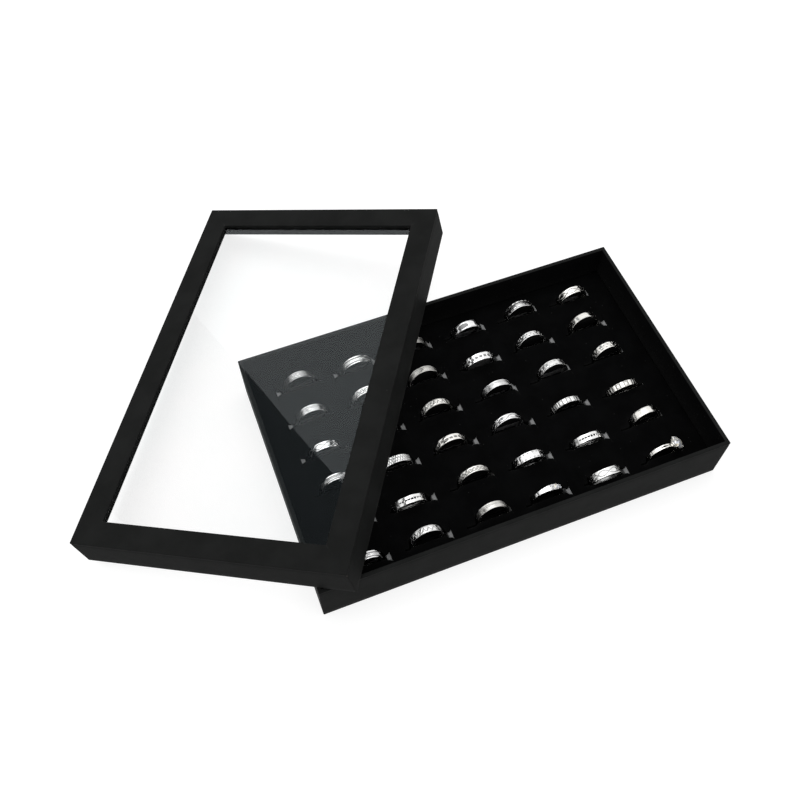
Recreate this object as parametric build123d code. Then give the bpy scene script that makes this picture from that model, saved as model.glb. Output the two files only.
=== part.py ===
from build123d import *
import math
import os

# Ring display box: a paper-wrapped board tray, a flocked pad with slots, the rings that stand
# in the slots, and a lift-off window lid that leans on the tray.
# Millimetres. The origin is the centre of the tray's underside, X along the tray, Z up.

# ---- Sheets and boards ----
board = 1.6                 # grey board of the tray and the lid
paper = 0.25                # black wrapping paper
stay_tape = 0.15            # tape that holds a corner together, under the wrap
film = 0.3                  # clear window film
card = 0.8                  # flocked card on top of the pad

# ---- Tray ----
tray_length = 240.0
tray_width = 151.0
tray_height = 33.5

# ---- Pad and its slots ----
foam_height = 10.6
pad_clearance = 0.6         # between the pad and the tray's inside
slots_in_row = 6
rows_of_slots = 6
slot_pitch = 36.0           # along a row
row_pitch = 24.0            # from row to row
slot_length = 27.6
slot_width = 8.0
slot_ear = 0.7              # how far each end of a slot flares out past its width
ear_length = 3.0
flap_thickness = 0.6
flap_depth = 5.0
pocket_clearance = 0.1      # between a flap and the foam beside it

# ---- Lid ----
lid_length = 245.0
lid_width = 156.0
lid_depth = 21.5
window_border = 14.4
turn_in = 10.0              # wrap glued under the frame round the window
lid_centre = (-100.5, 60.5)  # middle of the lid's rim, seen from above
lid_heading = 57.8          # direction of its long side, degrees from X
rest_gap = 0.25             # between touching bodies

# ---- Corner stays ----
stay_leg = 18.0

# ---- Rings ----
ring_wall = 1.3
ring_gap = 0.3              # under a ring that stands in its slot
groove_depth = 0.35
groove_width = 0.45
split_gap = 1.3             # widest place between the strands of a split ring
split_reach = 6.8           # half the length of that gap
stone_width = 8.4
small_stone_width = 2.6
small_stone_step = 15.0     # degrees from one small stone to the next

# Row, place in the row, kind, outside width, band width, shift along the slot, lean, turn.
# Row 1 is at the back and place 1 at the left. A positive lean is towards the back, in
# degrees, and a positive turn rolls the ring's top towards the right.
RINGS = [
    (1, 1, "ridged", 19.2, 4.8, 1.5, 6, 0),
    (1, 2, "grooved", 19.6, 4.8, 1.5, -5, 0),
    (1, 3, "flat", 19.2, 4.6, 1.0, 0, 0),
    (1, 4, "inlaid", 19.4, 4.8, 2.0, -6, -20),
    (1, 5, "flat", 19.0, 5.0, 3.0, 6, 0),
    (1, 6, "crossed", 19.2, 4.8, 3.0, -4, 12),
    (2, 1, "flat", 19.0, 4.8, 1.5, 3, 0),
    (2, 2, "grooved", 19.2, 4.6, 0.0, 4, 0),
    (2, 3, "flat", 18.8, 4.2, 0.5, 10, 0),
    (2, 4, "slotted", 19.4, 4.8, 0.0, -8, 0),
    (2, 5, "dotted", 18.8, 3.9, -0.5, 11, 0),
    (2, 6, "domed", 19.6, 4.2, 0.0, 11, 0),
    (3, 1, "crossed", 18.8, 4.4, 1.0, -4, 0),
    (3, 2, "flat", 19.2, 4.6, 0.0, 2, 0),
    (3, 3, "grooved", 19.0, 4.2, -1.0, 10, 0),
    (3, 4, "flat", 19.0, 4.2, 2.0, 5, 0),
    (3, 5, "domed", 18.8, 4.4, 3.0, 11, 0),
    (3, 6, "dotted", 18.8, 4.5, 3.5, 9, 0),
    (4, 1, "grooved", 18.6, 4.4, 0.5, 8, 0),
    (4, 2, "flat", 19.0, 4.4, 0.0, 0, 0),
    (4, 3, "slotted", 19.2, 4.2, -2.0, 6, 0),
    (4, 4, "grooved", 18.8, 4.0, -2.0, 10, 0),
    (4, 5, "panelled", 18.8, 3.4, 0.0, 0, 0),
    (4, 6, "panelled", 19.4, 3.5, 0.5, -10, 0),
    (5, 1, "flat", 19.0, 4.4, 0.0, 2, 0),
    (5, 2, "split", 19.4, 4.4, -1.5, -9, 0),
    (5, 3, "slotted", 19.2, 3.8, 2.5, 9, 0),
    (5, 4, "flat", 19.0, 4.6, 0.0, -5, 0),
    (5, 5, "split", 19.2, 4.4, 0.5, -10, 0),
    (5, 6, "flat", 18.8, 4.6, 3.5, 6, 0),
    (6, 1, "grooved", 19.0, 4.4, 0.0, 0, 0),
    (6, 2, "grooved", 19.0, 4.2, 0.0, 10, 0),
    (6, 3, "flat", 18.8, 4.2, 3.2, 11, 0),
    (6, 4, "cluster", 19.0, 3.6, 0.5, 2, 26),
    (6, 5, "crossed", 19.2, 4.8, 0.0, -9, 0),
    (6, 6, "solitaire", 18.8, 2.2, 1.0, 2, 44),
]

# ---- Levels and outlines that follow from the sizes above ----
board_inset = paper + stay_tape                  # outer face of the wrap to the board
wall = board_inset + board + paper               # whole thickness of a wrapped wall
tray_board_length = tray_length - 2 * board_inset
tray_board_width = tray_width - 2 * board_inset
tray_inner_length = tray_length - 2 * wall
tray_inner_width = tray_width - 2 * wall
base_top = paper + board
liner_top = base_top + paper
foam_top = liner_top + foam_height
pad_top = foam_top + card
pad_length = tray_inner_length - 2 * pad_clearance
pad_width = tray_inner_width - 2 * pad_clearance
pocket_length = slot_length + 2 * pocket_clearance
pocket_width = slot_width + 2 * (flap_thickness + pocket_clearance)
lid_board_length = lid_length - 2 * board_inset
lid_board_width = lid_width - 2 * board_inset
lid_inner_length = lid_length - 2 * wall
lid_inner_width = lid_width - 2 * wall
window_length = lid_length - 2 * window_border
window_width = lid_width - 2 * window_border
frame_under = paper + board                      # depth of the frame board's underside
film_top = frame_under + paper
film_under = film_top + film
seat_slope_height = (liner_top + pad_top) / 2    # a leaning ring tips about this height


def box_between(low, high):
    """Box from its lowest to its highest corner."""
    size = [h - l for l, h in zip(low, high)]
    middle = [(h + l) / 2 for l, h in zip(low, high)]
    return Pos(*middle) * Box(*size)


def block(length, width, bottom, top):
    """Box centred on the Z axis, between two heights."""
    return Pos(0, 0, (bottom + top) / 2) * Box(length, width, top - bottom)


def corner_stays(length, width, bottom, top):
    """Four bent tapes on the outside of a box's upright corners."""
    leg = stay_leg
    skin = block(length + 2 * stay_tape, width + 2 * stay_tape, bottom, top)
    skin -= block(length, width, bottom, top)
    corner = Box(2 * leg, 2 * leg, 2 * (top - bottom))
    places = [(x * length / 2, y * width / 2) for x in (-1, 1) for y in (-1, 1)]
    return Compound(children=[skin & (Pos(x, y, (bottom + top) / 2) * corner) for x, y in places])


# ---------------------------------------------------------------- tray
def make_tray():
    wall_top = tray_height - paper
    side_width = tray_board_width - 2 * board
    long_wall = block(tray_board_length, board, base_top, wall_top)
    short_wall = block(board, side_width, base_top, wall_top)
    wall_y = (tray_board_width - board) / 2
    wall_x = (tray_board_length - board) / 2
    wrap = block(tray_length, tray_width, 0, tray_height)
    wrap -= block(tray_length - 2 * paper, tray_width - 2 * paper, 0, wall_top)
    inner_skin = block(tray_inner_length + 2 * paper, tray_inner_width + 2 * paper, base_top, wall_top)
    wrap += inner_skin
    wrap -= block(tray_inner_length, tray_inner_width, 0, tray_height)
    return {
        "tray_base_panel": block(tray_board_length, tray_board_width, paper, base_top),
        "tray_front_wall": Pos(0, -wall_y, 0) * long_wall,
        "tray_back_wall": Pos(0, wall_y, 0) * long_wall,
        "tray_left_wall": Pos(-wall_x, 0, 0) * short_wall,
        "tray_right_wall": Pos(wall_x, 0, 0) * short_wall,
        "tray_corner_stays": corner_stays(tray_board_length, tray_board_width, base_top, wall_top),
        "tray_bottom_paper": block(tray_length - 2 * paper, tray_width - 2 * paper, 0, paper),
        "tray_wrap": wrap,
        "tray_liner_paper": block(tray_inner_length, tray_inner_width, base_top, liner_top),
    }


# ---------------------------------------------------------------- pad
def slot_x(place):
    return (place - (slots_in_row + 1) / 2) * slot_pitch


def row_y(row):
    return ((rows_of_slots + 1) / 2 - row) * row_pitch


def slot_places():
    return [(slot_x(p + 1), row_y(r + 1)) for r in range(rows_of_slots) for p in range(slots_in_row)]


def slot_outline():
    """One slot seen from above: straight sides that flare out at both ends."""
    end, neck = slot_length / 2, slot_length / 2 - ear_length
    side, flare = slot_width / 2, slot_width / 2 + slot_ear
    quarter = [(end, flare), (neck, side)]
    left = [(-x, y) for x, y in reversed(quarter)]
    upper = quarter + left
    lower = [(-x, -y) for x, y in upper]
    return make_face(Polyline(*upper, *lower, close=True))


def make_pad():
    half = pad_width / 2
    edges = [half]
    for row in range(1, rows_of_slots + 1):
        edges += [row_y(row) + pocket_width / 2, row_y(row) - pocket_width / 2]
    edges.append(-half)
    bars = [
        box_between((-pad_length / 2, low, liner_top), (pad_length / 2, high, foam_top))
        for high, low in zip(edges[0::2], edges[1::2])
    ]
    ends = [-pad_length / 2]
    for place in range(1, slots_in_row + 1):
        ends += [slot_x(place) - pocket_length / 2, slot_x(place) + pocket_length / 2]
    ends.append(pad_length / 2)
    spacers = [
        box_between(
            (left, row_y(row) - pocket_width / 2, liner_top),
            (right, row_y(row) + pocket_width / 2, foam_top),
        )
        for row in range(1, rows_of_slots + 1)
        for left, right in zip(ends[0::2], ends[1::2])
    ]
    sheet = Rectangle(pad_length, pad_width)
    sheet -= [Pos(x, y) * slot_outline() for x, y in slot_places()]
    cover = Pos(0, 0, foam_top) * extrude(sheet, card)
    flap_length = slot_length - 2 * ear_length
    flap_y = (slot_width + flap_thickness) / 2
    flap = block(flap_length, flap_thickness, foam_top - flap_depth, foam_top)
    cover += [Pos(x, y + side * flap_y, 0) * flap for x, y in slot_places() for side in (-1, 1)]
    return {
        "pad_foam_bars": Compound(children=bars),
        "pad_foam_spacers": Compound(children=spacers),
        "pad_cover": cover,
    }


# ---------------------------------------------------------------- lid
def make_lid():
    """The lid about its own centre: outer face at Z 0, skirts hanging down."""
    skirt_end = -(lid_depth - paper)
    opening_length = window_length + 2 * paper
    opening_width = window_width + 2 * paper
    frame = block(lid_board_width, lid_board_length, -frame_under, -paper)
    frame -= block(opening_width, opening_length, -frame_under, -paper)
    long_skirt = block(board, lid_board_length - 2 * board, skirt_end, -frame_under)
    short_skirt = block(lid_board_width, board, skirt_end, -frame_under)
    skirt_x = (lid_board_width - board) / 2
    skirt_y = (lid_board_length - board) / 2
    wrap = block(lid_width, lid_length, -lid_depth, 0)
    wrap -= block(lid_width - 2 * paper, lid_length - 2 * paper, skirt_end, -paper)
    inner_skin = block(lid_inner_width + 2 * paper, lid_inner_length + 2 * paper, skirt_end, -frame_under)
    wrap += inner_skin
    wrap -= block(lid_inner_width, lid_inner_length, -lid_depth, -frame_under)
    turned = block(opening_width + 2 * turn_in, opening_length + 2 * turn_in, -film_top, -frame_under)
    wrap += turned + block(opening_width, opening_length, -frame_under, -paper)
    wrap -= block(window_width, window_length, -film_top, 0)
    film_margin = turn_in - 2
    window = block(window_width + 2 * film_margin, window_length + 2 * film_margin, -film_under, -film_top)
    liner = block(lid_inner_width, lid_inner_length, -film_under - paper, -film_under)
    liner -= block(window_width + 2, window_length + 2, -film_under - paper, -film_under)
    return {
        "lid_top_frame": frame,
        "lid_front_skirt": Pos(0, -skirt_y, 0) * short_skirt,
        "lid_back_skirt": Pos(0, skirt_y, 0) * short_skirt,
        "lid_left_skirt": Pos(-skirt_x, 0, 0) * long_skirt,
        "lid_right_skirt": Pos(skirt_x, 0, 0) * long_skirt,
        "lid_corner_stays": corner_stays(lid_board_width, lid_board_length, skirt_end, -paper),
        "lid_wrap": wrap,
        "lid_window": window,
        "lid_window_liner": liner,
    }


def lid_frame(normal, rim_centre):
    """The lid's own plane at the middle of its rim, its long side along lid_heading."""
    heading = Vector(math.cos(math.radians(lid_heading)), math.sin(math.radians(lid_heading)), 0)
    along = (heading - normal * heading.dot(normal)).normalized()
    return Plane(origin=rim_centre, x_dir=along.cross(normal), z_dir=normal)


def rim_crossing(plane, start, end, across):
    """Where a straight line of the lid's rim plane, given by two of its points in that plane,
    crosses an upright plane whose distance from the origin the function across measures."""
    first = plane.from_local_coords(Vector(*start, 0))
    last = plane.from_local_coords(Vector(*end, 0))
    return first + (last - first) * (-across(first) / (across(last) - across(first)))


def lid_rest():
    """Where the lid lies: one rim corner is on the table, the right rim on the tray's back
    wall, and either the front rim on the left wall or the window on the corner between the
    walls, whichever holds the lid higher. The lid's tilt moves those places a little, so
    they are found again until they settle."""
    normal, centre = Vector(0, 0, 1), Vector(*lid_centre, 0)
    half_width, half_length = lid_width / 2, lid_length / 2
    inner_x, inner_y = lid_inner_width / 2, -lid_inner_length / 2
    back_y, left_x = tray_width / 2, -tray_length / 2
    rim_height = tray_height + rest_gap
    for _ in range(30):
        plane = lid_frame(normal, centre)
        table = plane.from_local_coords(Vector(-half_width, half_length, 0))
        back = rim_crossing(plane, (inner_x, -1), (inner_x, 1), lambda p: p.Y - back_y)
        left = rim_crossing(plane, (-1, inner_y), (1, inner_y), lambda p: p.X - left_x)
        on_table = Vector(table.X, table.Y, rest_gap)
        on_back = Vector(back.X, back.Y, rim_height)
        on_left = Vector(left.X, left.Y, rim_height)
        on_corner = Vector(left_x, back_y, rim_height) - normal * (lid_depth - film_under)
        rests = []
        for third in (on_left, on_corner):
            upward = (on_back - third).cross(on_table - third).normalized()
            height = (third - Vector(*lid_centre, 0)).dot(upward) / upward.Z
            rests.append((height, upward))
        height, normal = max(rests, key=lambda rest: rest[0])
        centre = Vector(*lid_centre, height)
    return lid_frame(normal, centre).location * Pos(0, 0, lid_depth)


# ---------------------------------------------------------------- rings
def band(outer, width, wall_thickness=ring_wall, edge=0.25):
    """A flat band about the Y axis, its edges rounded."""
    profile = Pos(outer / 2 - wall_thickness / 2, 0) * RectangleRounded(wall_thickness, width, edge)
    return revolve(profile, Axis.Y)


def round_cuts(cutter, outer, first, last, count):
    """The cutter set round the band's outside, from one angle off the top to another."""
    step = (last - first) / (count - 1)
    return [Rot(0, first + i * step, 0) * Pos(0, 0, outer / 2) * cutter for i in range(count)]


def turned_grooves(outer, places):
    """Rings of metal to cut from a band, at places along its width."""
    tall = 2 * groove_depth
    return [revolve(Pos(outer / 2, y) * Rectangle(tall, groove_width), Axis.Y) for y in places]


def flat_ring(outer, width):
    return band(outer, width)


def domed_ring(outer, width):
    return band(outer, width, edge=ring_wall / 2 - 0.05)


def grooved_ring(outer, width):
    return band(outer, width) - turned_grooves(outer, (-width / 4, width / 4))


def ridged_ring(outer, width):
    places = [width * share for share in (-0.3, -0.1, 0.1, 0.3)]
    return band(outer, width) - turned_grooves(outer, places)


def inlaid_ring(outer, width):
    """A shallow oval recess follows the band's curve."""
    skin = band(outer + 2, width) - band(outer - 2 * groove_depth, 2 * width)
    oval = extrude(Ellipse(width * 0.75, width * 0.3), outer)
    return band(outer, width) - (skin & oval)


def slotted_ring(outer, width):
    cutter = Box(1.3, 0.9, 2 * groove_depth)
    return band(outer, width) - round_cuts(cutter, outer, -72, 72, 9)


def dotted_ring(outer, width):
    cutter = Cylinder(0.45, 2 * groove_depth)
    return band(outer, width) - round_cuts(cutter, outer, -75, 75, 13)


def panelled_ring(outer, width):
    cutter = Box(groove_width, width, 2 * groove_depth)
    return band(outer, width) - round_cuts(cutter, outer, -77, 77, 8)


def crossed_ring(outer, width):
    """Two grooves run round the band at a slant and cross at its top."""
    angle = math.degrees(math.asin((width - 2 * groove_width) / outer))
    groove = revolve(Pos(outer / 2, 0) * Rectangle(2 * groove_depth, groove_width), Axis.Y)
    return band(outer, width) - [Rot(0, 0, side * angle) * groove for side in (-1, 1)]


def split_ring(outer, width):
    """The band opens at its top into two strands with a long gap between them."""
    gap = extrude(Ellipse(split_reach, split_gap / 2), outer)
    return band(outer, width) - gap


def tapered_band(outer, top_width, bottom_width):
    reach = outer / 2
    side = [(bottom_width / 2, -reach), (top_width / 2, reach)]
    outline = side + [(-y, z) for y, z in reversed(side)]
    wedge = extrude(Plane.YZ * make_face(Polyline(*outline, close=True)), outer, both=True)
    return band(outer, top_width) & wedge


def cluster_cup():
    return Pos(0, 0, -0.3) * Cylinder(small_stone_width / 2 + 0.35, 1.4)


def cluster_cups(outer):
    step = small_stone_step
    return [Rot(0, side * step, 0) * Pos(0, 0, outer / 2) * cluster_cup() for side in (-1, 0, 1)]


def cluster_sockets(outer):
    step = small_stone_step
    socket = Pos(0, 0, 0.4) * Cylinder(small_stone_width / 2, 0.8)
    return [Rot(0, side * step, 0) * Pos(0, 0, outer / 2) * socket for side in (-1, 0, 1)]


def cluster_ring(outer, width):
    return tapered_band(outer, width, 1.8) + cluster_cups(outer) - cluster_sockets(outer)


def cluster_stones(outer):
    """Three small round stones, each sitting on the floor of its own cup."""
    step = small_stone_step
    radius = small_stone_width / 2 - 0.05
    stone = Pos(0, 0, 0.4) * Cone(radius, radius * 0.55, 0.8)
    places = [Rot(0, side * step, 0) * Pos(0, 0, outer / 2) for side in (-1, 0, 1)]
    return Compound(children=[place * stone for place in places])


def solitaire_seat(outer):
    return outer / 2 + 2.2   # height of the stone's girdle over the ring's centre


def solitaire_ring(outer, width):
    """A thin band that carries an open cup with four claws for one large stone."""
    girdle = solitaire_seat(outer)
    stone_radius = stone_width / 2
    cup_top, cup_bottom = girdle - 0.6, outer / 2 - 0.9
    height = cup_top - cup_bottom
    cup = Pos(0, 0, (cup_top + cup_bottom) / 2) * Cone(1.5, stone_radius - 0.4, height)
    claw = Pos(stone_radius + 0.25, 0, girdle - 0.2) * Cylinder(0.4, 2.4)
    claws = [Rot(0, 0, 45 + 90 * i) * claw for i in range(4)]
    foot = Pos(stone_radius - 0.3, 0, girdle - 1.1) * Box(1.4, 0.8, 0.8)
    feet = [Rot(0, 0, 45 + 90 * i) * foot for i in range(4)]
    return band(outer, width) + cup + claws + feet - solitaire_stone(outer)


def solitaire_stone(outer):
    """Round cut: a flat table, a sloping crown, a thin girdle and a cut-off pavilion."""
    girdle = solitaire_seat(outer)
    radius = stone_width / 2
    outline = [
        (0, girdle - 1.45), (radius - 1.5, girdle - 1.45), (radius, girdle),
        (radius, girdle + 0.2), (radius * 0.6, girdle + 1.5), (0, girdle + 1.5),
    ]
    return revolve(Plane.XZ * make_face(Polyline(*outline, close=True)), Axis.Z)


RING_KINDS = {
    "flat": flat_ring,
    "domed": domed_ring,
    "grooved": grooved_ring,
    "ridged": ridged_ring,
    "inlaid": inlaid_ring,
    "slotted": slotted_ring,
    "dotted": dotted_ring,
    "panelled": panelled_ring,
    "crossed": crossed_ring,
    "split": split_ring,
    "cluster": cluster_ring,
    "solitaire": solitaire_ring,
}


def ring_place(row, place, outer, width, shift, lean, turn):
    """A ring stands on the liner, tipped about the middle of the slot's depth. It is kept
    inside its slot however far it is set along it."""
    angle = math.radians(lean)
    height = liner_top + ring_gap + outer / 2 * math.cos(angle) + width / 2 * abs(math.sin(angle))
    room = slot_length / 2 - ring_gap - outer / 2
    x = slot_x(place) + max(-room, min(room, shift))
    y = row_y(row) + (height - seat_slope_height) * math.tan(angle)
    return Pos(x, y, height) * Rot(-lean, 0, 0) * Rot(0, turn, 0)


def make_rings():
    nodes = {}
    for row, place, kind, outer, width, shift, lean, turn in RINGS:
        where = ring_place(row, place, outer, width, shift, lean, turn)
        nodes[f"ring_{kind}_row{row}_place{place}"] = where * RING_KINDS[kind](outer, width)
        if kind == "cluster":
            nodes["ring_cluster_stones"] = where * cluster_stones(outer)
        if kind == "solitaire":
            nodes["ring_solitaire_stone"] = where * solitaire_stone(outer)
    return nodes


def save_all(nodes):
    os.makedirs("parts", exist_ok=True)
    for name, shape in nodes.items():
        export_step(shape, f"parts/{name}.step")


lid_place = lid_rest()
lid_nodes = {name: lid_place * shape for name, shape in make_lid().items()}
save_all({**make_tray(), **make_pad(), **lid_nodes, **make_rings()})
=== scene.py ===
import math

import bpy
import numpy as np
from mathutils import Matrix, Vector


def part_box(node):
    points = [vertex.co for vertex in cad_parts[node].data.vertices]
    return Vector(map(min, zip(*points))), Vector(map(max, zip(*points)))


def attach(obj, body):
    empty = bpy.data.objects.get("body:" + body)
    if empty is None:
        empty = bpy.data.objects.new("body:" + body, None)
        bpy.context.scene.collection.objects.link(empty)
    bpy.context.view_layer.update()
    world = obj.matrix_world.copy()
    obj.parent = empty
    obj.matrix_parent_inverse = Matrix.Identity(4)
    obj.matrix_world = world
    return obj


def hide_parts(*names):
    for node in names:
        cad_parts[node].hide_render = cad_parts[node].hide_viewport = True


# Ring display box: the looks of its paper, velvet, foam, film, steel and stones.
# Sizes are in millimetres until a mesh is made, which turns them into metres.

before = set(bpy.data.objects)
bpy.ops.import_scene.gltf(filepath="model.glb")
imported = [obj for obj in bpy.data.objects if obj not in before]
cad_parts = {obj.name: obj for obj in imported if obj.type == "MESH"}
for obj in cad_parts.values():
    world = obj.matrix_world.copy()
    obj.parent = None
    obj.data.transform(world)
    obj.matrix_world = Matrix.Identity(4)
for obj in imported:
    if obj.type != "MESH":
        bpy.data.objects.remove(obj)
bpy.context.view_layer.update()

MM = 0.001

# ---- Camera, from the photograph's own view ----
CAMERA_PLACE = (-132.5, -230.9, 475.9)
CAMERA_AIM = (-33.8, 35.1, 0.0)
CAMERA_ROLL = 0.7          # degrees
CAMERA_LENS = 40.7         # on a 36 mm sensor

# ---- Tray and lid ----
PAPER = 0.25
WALL = 2.25
FOLD_RADIUS = 0.55
LID_BORDER = 14.4
TURN_IN_START = 4.15       # from the lid's outer face to where the paper under the frame begins
FRAME_DEPTH = 2.1          # from the lid's top face to the film
FILM = 0.3
HOLLOW = 0.14              # how far the paper sinks just under a fold
SLACK = 0.07               # how far it strays from flat elsewhere

# ---- Pad ----
SLOTS_IN_ROW = 6
ROWS = 6
SLOT_PITCH = 36.0
ROW_PITCH = 24.0
SLOT_LENGTH = 27.6
SLOT_OFFSET = -2.2         # the slits' ends sit this far in front of the rings' middles
SLIT_HALF = 1.5            # half the slit's width where no ring opens it
LIP_GAP = 0.3              # between a lip and the ring that holds it open
CROSS_CUT = 1.6            # how much wider each end of the slit is
LINER_TOP = 2.1
FOAM_TOP = 12.7
PAD_TOP = 13.5
VELVET = 0.8               # its thickness, with the card under it
POCKET_HALF = 4.0
POCKET_REACH = 11.6        # from the slot's middle to the end of its foam pocket
FLAP_ROOM = 1.0            # from the slit's lip to the foam behind its flap
FLAP_DEPTH = 5.5           # as deep as the flaps of the CAD cover
SHORT_FLAP_DEPTH = 3.0     # where the foam shows below the lip
SHUT_SHARE = 0.2           # how far an end of a slit stays open where the velvet lies over it
OPEN_SHARE = 0.7           # and where it opens at the left
FLAT_MARGIN = 3.6          # from the slit's lip to where the velvet lies flat
FOAM_SINK = 0.05           # from the velvet's underside to the foam

# Rows and places of the slots that differ from the rest.
FOAM_IN_SIGHT = [(2, 4), (3, 5), (4, 4), (6, 1)]
OPEN_AT_LEFT = [(1, 1), (1, 2), (2, 1), (3, 1)]
SHUT_AT_RIGHT = [(1, 1), (2, 1), (3, 1), (4, 6), (5, 3), (5, 6), (6, 3), (6, 6)]

# ---- Rings ----
RING_WALL = 1.3
RING_GAP = 0.3             # under a ring that stands in its slot, and at the slot's ends
SEAT_SLOPE_HEIGHT = 7.8    # a leaning ring tips about this height
ENGRAVING_DEPTH = 0.2
STONE_RADIUS = 4.2
STONE_HEIGHT = 2.2         # from the top of the band to the stone's girdle
SMALL_STONE_RADIUS = 1.25
SMALL_STONE_STEP = 15      # degrees from one small stone to the next

# Row from the back, place from the left, CAD kind, engraving, outside width, band width,
# shift along the slot, lean, turn.
RINGS = [
    (1, 1, "ridged", "ridges", 19.2, 4.8, 1.5, 6, 0),
    (1, 2, "grooved", "twin_lines", 19.6, 4.8, 1.5, -5, 0),
    (1, 3, "flat", "hatch", 19.2, 4.6, 1.0, 0, 0),
    (1, 4, "inlaid", "oval", 19.4, 4.8, 2.0, -6, -20),
    (1, 5, "flat", "bright_middle", 19.0, 5.0, 3.0, 6, 0),
    (1, 6, "crossed", "double_wave", 19.2, 4.8, 3.0, -4, 12),
    (2, 1, "flat", "chevrons", 19.0, 4.8, 1.5, 3, 0),
    (2, 2, "grooved", "circles", 19.2, 4.6, 0.0, 4, 0),
    (2, 3, "flat", "hatch", 18.8, 4.2, 0.5, 10, 0),
    (2, 4, "slotted", "windows", 19.4, 4.8, 0.0, -8, 0),
    (2, 5, "dotted", "dots", 18.8, 3.9, -0.5, 11, 0),
    (2, 6, "domed", "plain", 19.6, 4.2, 0.0, 11, 0),
    (3, 1, "crossed", "double_wave", 18.8, 4.4, 1.0, -4, 0),
    (3, 2, "flat", "diamonds", 19.2, 4.6, 0.0, 2, 0),
    (3, 3, "grooved", "zigzag", 19.0, 4.2, -1.0, 10, 0),
    (3, 4, "flat", "chevrons", 19.0, 4.2, 2.0, 5, 0),
    (3, 5, "domed", "bright_middle", 18.8, 4.4, 3.0, 11, 0),
    (3, 6, "dotted", "dots", 18.8, 4.5, 3.5, 9, 0),
    (4, 1, "grooved", "twin_lines", 18.6, 4.4, 0.5, 8, 0),
    (4, 2, "flat", "diamonds", 19.0, 4.4, 0.0, 0, 0),
    (4, 3, "slotted", "windows", 19.2, 4.2, -2.0, 6, 0),
    (4, 4, "grooved", "double_wave", 18.8, 4.0, -2.0, 10, 0),
    (4, 5, "panelled", "panels", 18.8, 3.4, 0.0, 0, 0),
    (4, 6, "panelled", "panels", 19.4, 3.5, 0.5, -10, 0),
    (5, 1, "flat", "hatch", 19.0, 4.4, 0.0, 2, 0),
    (5, 2, "split", "split", 19.4, 4.4, -1.5, -9, 0),
    (5, 3, "slotted", "circles", 19.2, 3.8, 2.5, 9, 0),
    (5, 4, "flat", "bright_middle", 19.0, 4.6, 0.0, -5, 0),
    (5, 5, "split", "split", 19.2, 4.4, 0.5, -10, 0),
    (5, 6, "flat", "plain", 18.8, 4.6, 3.5, 6, 0),
    (6, 1, "grooved", "twin_lines", 19.0, 4.4, 0.0, 0, 0),
    (6, 2, "grooved", "zigzag", 19.0, 4.2, 0.0, 10, 0),
    (6, 3, "flat", "chevrons", 18.8, 4.2, 3.2, 11, 0),
    (6, 4, "cluster", "tapered", 19.0, 3.6, 0.5, 2, 26),
    (6, 5, "crossed", "double_wave", 19.2, 4.8, 0.0, -9, 0),
    (6, 6, "solitaire", "thin", 18.8, 2.2, 1.0, 2, 44),
]


# ---------------------------------------------------------------- mesh helpers
def new_piece(name, points, faces, material, body, mark=None, along=None, smooth=True):
    """A mesh from points in millimetres. mark is a mask for each point: wear on paper, engraving
    on steel, painted sheen on the velvet's lips. along is where the point lies on a flat-rolled band."""
    mesh = bpy.data.meshes.new(name)
    mesh.from_pydata([tuple(p) for p in np.asarray(points) * MM], [], faces)
    mesh.validate()
    mesh.update()
    if smooth:
        mesh.polygons.foreach_set("use_smooth", [True] * len(mesh.polygons))
    if mark is not None:
        layer = mesh.attributes.new("mark", "FLOAT", "POINT")
        layer.data.foreach_set("value", np.ravel(mark).astype(np.float32))
    if along is not None:
        layer = mesh.attributes.new("along", "FLOAT_VECTOR", "POINT")
        layer.data.foreach_set("vector", np.ravel(along).astype(np.float32))
    mesh.materials.append(material)
    piece = bpy.data.objects.new(name, mesh)
    bpy.context.scene.collection.objects.link(piece)
    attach(piece, body)
    return piece


def grid_faces(rows, columns, close_rows=True, close_columns=True, first=0):
    """Quads over a grid of points, numbered row by row."""
    faces = []
    for r in range(rows if close_rows else rows - 1):
        for c in range(columns if close_columns else columns - 1):
            r2, c2 = (r + 1) % rows, (c + 1) % columns
            a, b = first + r * columns + c, first + r * columns + c2
            faces.append((a, b, first + r2 * columns + c2, first + r2 * columns + c))
    return faces


def turned_over(faces):
    """The same faces, looking the other way."""
    return [tuple(reversed(f)) for f in faces]


def rounded_path(corners, radii, steps=4):
    """A polyline whose inner corners are rounded by arcs, as (x, y) points."""
    points = [np.array(corners[0], float)]
    for before, at, after, radius in zip(corners, corners[1:], corners[2:], radii):
        before, at, after = (np.array(p, float) for p in (before, at, after))
        into = (before - at) / np.linalg.norm(before - at)
        out = (after - at) / np.linalg.norm(after - at)
        start, end, centre = at + into * radius, at + out * radius, at + (into + out) * radius
        for i in range(steps + 1):
            t = i / steps * math.pi / 2
            points.append(centre + (start - centre) * math.cos(t) + (end - centre) * math.sin(t))
    points.append(np.array(corners[-1], float))
    return points


def shifted(corners, distance):
    """The same right-angled polyline moved to its left by a distance."""
    moved = []
    for i, p in enumerate(corners):
        normals = []
        for a, b in ((i - 1, i), (i, i + 1)):
            if 0 <= a and b < len(corners):
                run = np.array(corners[b], float) - np.array(corners[a], float)
                run /= np.linalg.norm(run)
                normals.append(np.array((-run[1], run[0])))
        moved.append(np.array(p, float) + sum(normals) * distance)
    return moved


def side_stations(length, pitch, corner_marks):
    """Distances along one straight side: a few close to each corner, the rest even."""
    count = max(2, round(length / pitch))
    middle = [length * i / count for i in range(1, count)]
    near = [m for m in corner_marks if m < length / 4]
    middle = [m for m in middle if near[-1] * 1.5 < m < length - near[-1] * 1.5]
    return [*near, *middle, *[length - m for m in reversed(near)]]


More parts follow.
